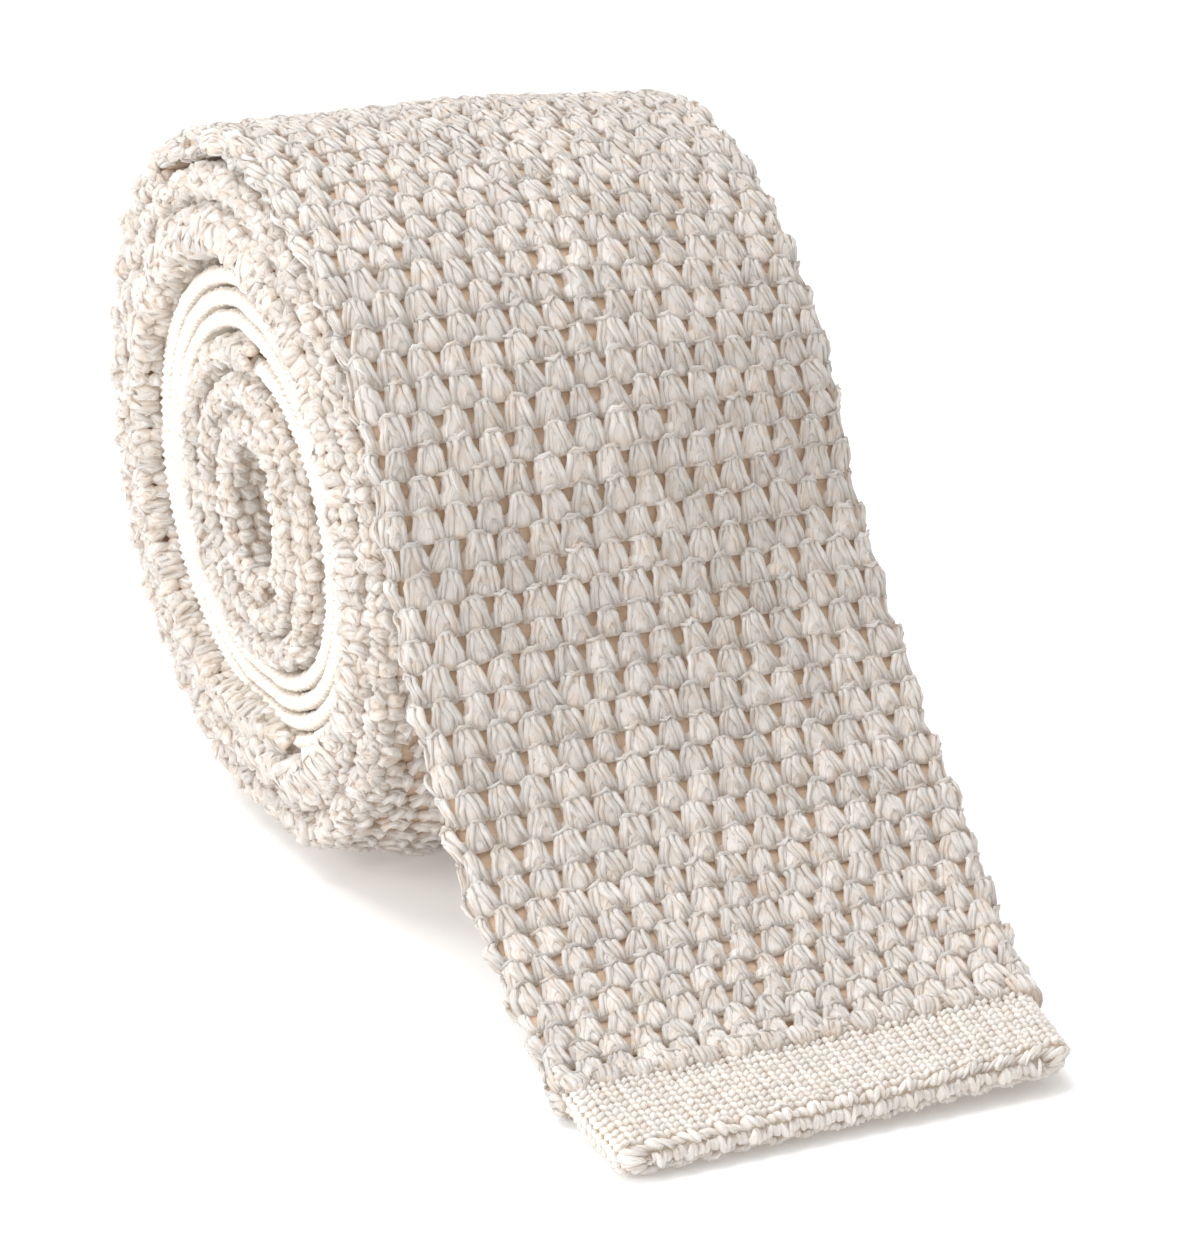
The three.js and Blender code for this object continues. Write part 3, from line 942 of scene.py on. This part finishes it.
blade_end = blade.length
blade_ground = ground_cloth("blade_ground", blade, 0.78, 0.5, blade_end - 3.0, 4.0, shaded_backing)
blade_knit = [
    blade_face("blade_run_knit", openwork_stitches, run_starts, blade_end - 1.0, outer_face, 1),
    blade_face(
        "blade_last_row", closing_stitches, blade_end, blade_end + 1.1, outer_face, 14, swell=over_band
    ),
    blade_face(
        "blade_run_underside", plain_stitches, run_starts, blade_end - 1.5, inner_face, 2, UNDERSIDE_STANDS
    ),
    blade_face("blade_top_knit", openwork_stitches, top_starts, run_starts - A_HAIR, outer_face, 3),
    blade_face("blade_back_knit", plain_stitches, outer_starts, top_starts - A_HAIR, outer_only, 4),
    blade_edge("blade_first_left_edge", -9.0, second_turn, left_edge_and_inside, 5, inner_filling),
    blade_edge("blade_left_edges", second_turn + A_HAIR, top_starts + 1.0, left_edge, 15),
    blade_face("blade_inside_knit", plain_stitches, -1.0, second_turn, inside_by_right_edge, 16),
    blade_face("blade_right_edges", plain_stitches, 2.0, top_starts - A_HAIR, right_edge, 6),
]

# The fine band at the tip, whose stitches begin under the last openwork row
band_ground = ground_cloth("end_band_ground", end_band, 1.2, 1.2, end_band.length, 1.2, fine_backing)
band_end = end_band.length + END_TIP_RADIUS * (math.pi / 2 - 1)
band_at = courses(end_band, BAND_STARTS, band_end, FINE_ACROSS, FINE_ALONG, everywhere, band_end, False)


def scallops(s, around, girth):
    """The tip's edge swells into lobes, and the other end dips under the openwork."""
    from_middle = np.minimum(around, girth - around)
    upper = np.where(from_middle < girth * end_band.edge_share(0.0), 1.0, LOWER_SCALLOPS)
    near_tip = SCALLOP_SWELL * upper * smooth((s - end_band.length + SCALLOP_DEPTH) / SCALLOP_DEPTH)
    under_openwork = BAND_DIP * smooth(s / BAND_STARTS)
    return near_tip * (np.cos(2 * math.pi * from_middle / SCALLOP_PITCH) + SCALLOP_FULLNESS) - under_openwork


band_knit = [
    lay("end_band_knit", end_band, fine_stitches, band_at, fine_silk, BAND_STANDS, 7, FINE_LOOSE, scallops)
]


def edge_ribs(strip, sign):
    s = np.arange(RIB_ALONG, strip.length - RIB_ALONG / 2, RIB_ALONG)
    return s, np.mod(sign * strip.edge_share(s), 1.0)


neck_ground = ground_cloth("neck_ground", neck, 0.92, 0.3, neck.length - 0.3, 2.5, fine_backing)
neck_knit = [
    lay("neck_left_ribs", neck, ribs, edge_ribs(neck, -1), fine_silk, RIBS_STAND, 9, RIBS_LOOSE),
    lay("neck_right_ribs", neck, ribs, edge_ribs(neck, 1), fine_silk, RIBS_STAND, 10, RIBS_LOOSE),
]

tail_ground = ground_cloth("tail_ground", tail, 0.9, 0.3, tail.length - 0.3, 1.8, shaded_backing)
tail_knobs_at = courses(tail, -2.5, tail.length + 1.5, KNOB_ACROSS, KNOB_ALONG, left_edge_and_inside)
tail_right_at = courses(tail, 1.5, tail.length - 1.5, STITCH_ACROSS, STITCH_ALONG, right_edge)
tail_knit = [
    lay(
        "tail_left_edges", tail, knobs, tail_knobs_at, openwork_silk, TAIL_KNOBS_STAND, 11, askew=KNOB_ASKEW
    ),
    lay("tail_right_edges", tail, plain_stitches, tail_right_at, openwork_silk, TAIL_EDGE_STANDS, 12),
]

tail_band_ground = ground_cloth(
    "tail_band_ground", tail_band, 1.15, 0.3, tail_band.length - 0.3, 1.0, fine_backing
)


def tail_band_side(name, chosen, seed):
    """Fine stitches over one side of the narrow end's band, as far as the eye shows them."""
    at = courses(tail_band, 0.6, tail_band.length - 0.4, FINE_ACROSS, FINE_ALONG, chosen, 0.0, False)
    return lay(name, tail_band, fine_stitches, at, fine_silk, TAIL_BAND_STANDS, seed, FINE_LOOSE)


tail_band_knit = [
    tail_band_side("tail_band_left_knit", left_edge, 13),
    tail_band_side("tail_band_right_knit", right_edge_and_inside, 17),
]

# Each strip is one sheet of cloth: its ground, the solid that it stands for, its width, the strip
# that gives its length, how it is held, what it rests on, and its knit
SHEETS = (
    (blade_ground, "front_blade", BLADE_WIDTH, blade, "folded", neck_ground, blade_knit),
    (band_ground, "end_band", END_BAND_WIDTH, end_band, "laid", blade_ground, band_knit),
    (neck_ground, "neck_band", NECK_WIDTH, neck, "folded", tail_ground, neck_knit),
    (tail_ground, "tail_blade", TAIL_WIDTH, tail, "folded", tail_band_ground, tail_knit),
    (tail_band_ground, "tail_band", tail_band_width, tail_band, "folded", tail_ground, tail_band_knit),
)
for cloth, solid, width, strip, held, under, knit in SHEETS:
    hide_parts(solid)

# A plain pale floor
floor_grid = bmesh.new()
bmesh.ops.create_grid(floor_grid, x_segments=1, y_segments=1, size=3.0)
floor_mesh = bpy.data.meshes.new("floor")
floor_grid.to_mesh(floor_mesh)
floor_grid.free()
floor = bpy.data.objects.new("floor", floor_mesh)
bpy.context.scene.collection.objects.link(floor)
floor.location.z = -0.0005
floor_paint = bpy.data.materials.new("floor_paint")
floor_paint.use_nodes = True
floor_shader = floor_paint.node_tree.nodes["Principled BSDF"]
floor_shader.inputs["Base Color"].default_value = (0.93, 0.93, 0.93, 1)
floor_shader.inputs["Roughness"].default_value = 0.9
floor_shader.inputs["Emission Color"].default_value = (1.0, 1.0, 1.0, 1)
floor_shader.inputs["Emission Strength"].default_value = 0.12
floor_mesh.materials.append(floor_paint)

# Soft light from all round, and a large soft one from above and behind on the left
world = bpy.data.worlds.new("studio")
world.use_nodes = True
world.node_tree.nodes["Background"].inputs["Color"].default_value = (1.0, 1.0, 1.0, 1)
world.node_tree.nodes["Background"].inputs["Strength"].default_value = 0.75
bpy.context.scene.world = world


def softbox(name, place, aim, size, watts):
    light = bpy.data.lights.new(name, "AREA")
    light.size = size
    light.energy = watts
    lamp = bpy.data.objects.new(name, light)
    bpy.context.scene.collection.objects.link(lamp)
    lamp.location = place
    lamp.rotation_euler = (Vector(aim) - Vector(place)).to_track_quat("-Z", "Y").to_euler()


softbox("overhead", (-0.12, 0.22, 0.75), (0, 0, 0.03), 0.7, 6.0)
softbox("left", (-0.70, -0.04, 0.24), (0, 0, 0.03), 0.5, 3.6)

# The camera, at the photo's own angle
AZIMUTH = math.radians(-22.28)
ELEVATION = math.radians(19.42)
ROLL = math.radians(-2.19)
DISTANCE = 1001.0
FOCAL_PX = 9065.0
AIM = np.array([2.36, -52.79, 37.23])
CENTRE_PX = (687.65, 626.01)
IMAGE_PX = (1200.0, 1260.0)
SENSOR = 36.0
back = Vector(
    (
        math.sin(AZIMUTH) * math.cos(ELEVATION),
        -math.cos(AZIMUTH) * math.cos(ELEVATION),
        math.sin(ELEVATION),
    )
)
right = Vector((math.cos(AZIMUTH), math.sin(AZIMUTH), 0.0))
up = back.cross(right)
turned_right = right * math.cos(ROLL) + up * math.sin(ROLL)
turned_up = up * math.cos(ROLL) - right * math.sin(ROLL)
camera_data = bpy.data.cameras.new("camera")
camera = bpy.data.objects.new("camera", camera_data)
bpy.context.scene.collection.objects.link(camera)
bpy.context.scene.camera = camera
camera.location = (Vector(AIM + SHIFT) + back * DISTANCE) * MM
camera.rotation_euler = Matrix((turned_right, turned_up, back)).transposed().to_euler()
camera_data.sensor_fit = "VERTICAL"
camera_data.sensor_height = SENSOR
camera_data.lens = FOCAL_PX * SENSOR / IMAGE_PX[1]
camera_data.shift_x = (IMAGE_PX[0] / 2 - CENTRE_PX[0]) / IMAGE_PX[1]
camera_data.shift_y = (CENTRE_PX[1] - IMAGE_PX[1] / 2) / IMAGE_PX[1]
camera_data.clip_end = 20.0
bpy.context.scene.view_settings.view_transform = "Standard"
